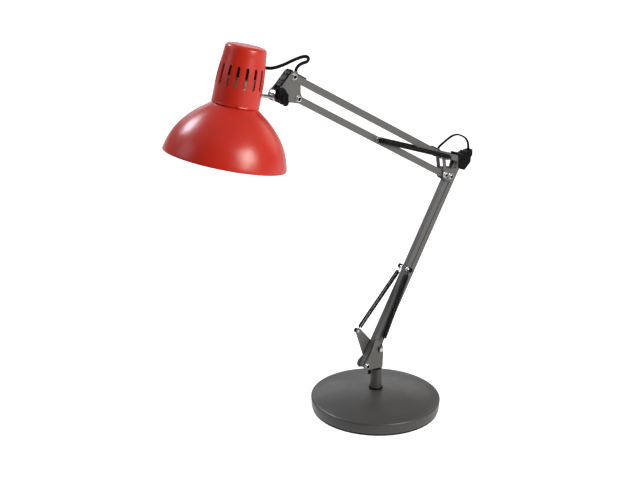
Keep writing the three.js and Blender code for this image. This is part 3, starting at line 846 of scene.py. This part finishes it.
def fastenings():
    pivot_bolt("bolt_base_front", F0, "bracket", BAR_LO)
    pivot_bolt("bolt_elbow_front", F1, "elbow", BAR_LO)
    pivot_bolt("bolt_elbow_lower", E2, "elbow", BAR_UP)
    pivot_bolt("bolt_head_top", H1, "head", BAR_UP)
    pivot_bolt("bolt_head_lower", H2, "head", BAR_UP)
    tubular_rivet("rivet_elbow_top", E1, "elbow", 8.75, BAR_UP, "zinc_steel")
    # The rear rivet sits under the cover and takes the near-black spring steel instead of zinc:
    # painted shade, for the cover's shade over it.
    tubular_rivet("rivet_elbow_rear", R1, "elbow", 10.7, BAR_LO, "spring_steel")


fastenings()


# ---- tilt knob ---------------------------------------------------------------------------------
WING_TURN = math.radians(112)           # direction of the longer wing


def tilt_knob():
    """Moulded wing knob: a long wing up, a shorter one down, waisted sides and a dished hub."""
    n = 144
    def loop(swell, base, y):
        pts = []
        for i in range(n):
            a = 2 * math.pi * i / n
            b = a - WING_TURN
            r = base + swell * (3.1 * math.cos(2 * b) + 1.2 * math.cos(4 * b) + math.cos(b))
            pts.append(Vector((TILT[0] + r * math.cos(a), y, TILT[1] + r * math.sin(a))))
        return pts
    back = [loop(0, 5.0, -8.0), loop(0.1, 5.4, -8.4), loop(0.8, 8.5, -8.5), loop(0.9, 9.1, -9.2),
            loop(0.9, 9.1, -10.2)]
    waist = [loop(0.72, 8.1, -11.6), loop(0.5, 7.0, -13.4), loop(0.6, 7.6, -15)]
    wings = [loop(0.97, 9.4, -16.4), loop(1, 9.6, -17.2), loop(0.97, 9.3, -18.5),
             loop(0.9, 8.5, -19.1), loop(0.8, 7.7, -19.2), loop(0.5, 6.2, -18.8)]
    hub = [loop(0.1, 5.3, -18.7), loop(0, 4.9, -19.4), loop(0, 4.5, -19.9), loop(0, 3.2, -20),
           loop(0, 2.9, -19.3)]
    verts, faces = prism(back + waist + wings + hub)
    piece("tilt_wing_knob_moulded", verts, faces, "black_plastic", "tilt_knob", ["tilt_wing_knob"],
          38)


tilt_knob()

# ---- rounded edges on the CAD nodes that stay --------------------------------------------------
for name in ("bracket_near_plate", "bracket_far_plate", "elbow_near_plate", "elbow_far_plate",
             "head_near_plate", "head_far_plate"):
    bevel(name, 0.3)
for name in ("lower_front_bar", "lower_rear_bar", "upper_top_bar", "upper_lower_bar"):
    bevel(name, 0.55, 3)
for name in ("head_block", "elbow_cover", "cord_clip_head", "cord_clip_elbow"):
    bevel(name, 0.45)
for name in ("bracket_foot", "stem", "stem_nut", "tilt_bolt", "wing_pin", "bolt_base_rear",
             "shade_screw", "head_screw_upper", "head_screw_lower", "elbow_spring_pin",
             "lower_peg", "upper_peg", "holder_plate"):
    bevel(name, 0.2)
for name in ("post_collar", "wing_pin_cap", "lower_peg_cap_near", "lower_peg_cap_far",
             "upper_peg_cap_near", "upper_peg_cap_far", "cap_grommet", "lamp_holder",
             "holder_skirt", "bulb_cap", "base_pad", "base_weight"):
    bevel(name, 0.25)
for name, obj in NODES.items():
    obj.data.polygons.foreach_set("use_smooth", [True] * len(obj.data.polygons))
    obj.data.set_sharp_from_angle(angle=math.radians(32))

# ---- floor, light ------------------------------------------------------------------------------
# in metres
LAMP_CENTRE, SHADE_CENTRE = Vector((-0.05, 0.0, 0.30)), Vector((-0.28, -0.03, 0.48))
FLOOR_HALF = 14.0


def floor():
    mesh = bpy.data.meshes.new("floor")
    s = FLOOR_HALF
    mesh.from_pydata([(-s, -s, 0), (s, -s, 0), (s, s, 0), (-s, s, 0)], [], [(0, 1, 2, 3)])
    m = Mat("floor_paper", (0.86, 0.86, 0.86), 0.9, Specular_IOR_Level=0.1)
    m.tint(m.noise(2, 2), 0.995, 1.005)
    m.bsdf.inputs["Emission Color"].default_value = (1, 1, 1, 1)
    m.bsdf.inputs["Emission Strength"].default_value = 0.76
    mesh.materials.append(m.mat)
    obj = bpy.data.objects.new("floor", mesh)
    bpy.context.scene.collection.objects.link(obj)
    obj.visible_diffuse = obj.visible_glossy = False     # pale, yet throws no light up at the lamp


def softbox(name, target, azimuth, elevation, distance, width, height, radiance, color=(1, 1, 1)):
    """Area light seen from target at an azimuth (0 is -Y, 90 is +X) and elevation, in degrees."""
    a, e = math.radians(azimuth), math.radians(elevation)
    way = Vector((math.sin(a) * math.cos(e), -math.cos(a) * math.cos(e), math.sin(e)))
    data = bpy.data.lights.new(name, "AREA")
    data.shape, data.size, data.size_y = "RECTANGLE", width, height
    data.energy = radiance * math.pi * width * height
    data.color = color
    obj = bpy.data.objects.new(name, data)
    bpy.context.scene.collection.objects.link(obj)
    obj.location = target + way * distance
    obj.rotation_mode = "QUATERNION"
    obj.rotation_quaternion = way.to_track_quat("Z", "Y")
    obj.visible_camera = False


def lights():
    softbox("back_left", SHADE_CENTRE, -166, 36, 1.7, 0.5, 0.45, 18.5, (0.88, 0.87, 1.0))
    softbox("front_right", SHADE_CENTRE, 18, 27, 1.9, 0.85, 0.8, 12.5, (1.0, 0.96, 0.88))
    softbox("left_panel", SHADE_CENTRE, -119, 27, 1.8, 0.8, 0.7, 1.4, (0.84, 0.86, 1.0))
    softbox("right_fill", LAMP_CENTRE, 95, 20, 2.2, 1.2, 1.0, 1.1, (1.0, 0.85, 0.74))
    softbox("back_panel", LAMP_CENTRE, 150, 16, 3.0, 2.6, 0.6, 1.6, (0.97, 0.98, 1.0))


def world():
    """Grey surroundings that change with height, and darken toward one black card."""
    w = bpy.data.worlds.new("studio")
    bpy.context.scene.world = w
    w.use_nodes = True
    t = w.node_tree
    new, link = t.nodes.new, t.links.new
    way = new("ShaderNodeTexCoord").outputs["Generated"]
    split = new("ShaderNodeSeparateXYZ")
    link(way, split.inputs["Vector"])
    height = new("ShaderNodeMapRange")
    height.inputs["From Min"].default_value = -1.0
    link(split.outputs["Z"], height.inputs["Value"])
    ramp = new("ShaderNodeValToRGB")
    stops = ((0.30, 1.0), (0.46, 0.95), (0.50, 0.21), (0.80, 0.36))
    while len(ramp.color_ramp.elements) < len(stops):
        ramp.color_ramp.elements.new(0.5)
    for el, (pos, value) in zip(ramp.color_ramp.elements, stops):
        el.position, el.color = pos, (value, value, value * 1.01, 1)
    link(height.outputs["Result"], ramp.inputs["Fac"])
    toward = new("ShaderNodeVectorMath")
    toward.operation = "DOT_PRODUCT"
    toward.inputs[1].default_value = Vector((-0.86, -0.46, 0.22)).normalized()
    link(way, toward.inputs[0])
    card = new("ShaderNodeMapRange")
    card.interpolation_type = "SMOOTHSTEP"
    card.inputs["From Min"].default_value, card.inputs["From Max"].default_value = 0.45, 0.92
    card.inputs["To Min"].default_value, card.inputs["To Max"].default_value = 1.0, 0.35
    link(toward.outputs["Value"], card.inputs["Value"])
    both = new("ShaderNodeVectorMath")
    both.operation = "SCALE"
    link(ramp.outputs["Color"], both.inputs[0])
    link(card.outputs["Result"], both.inputs["Scale"])
    link(both.outputs["Vector"], t.nodes["Background"].inputs["Color"])
    t.nodes["Background"].inputs["Strength"].default_value = 0.88


floor()
lights()
world()
bpy.context.scene.view_settings.view_transform = "Standard"
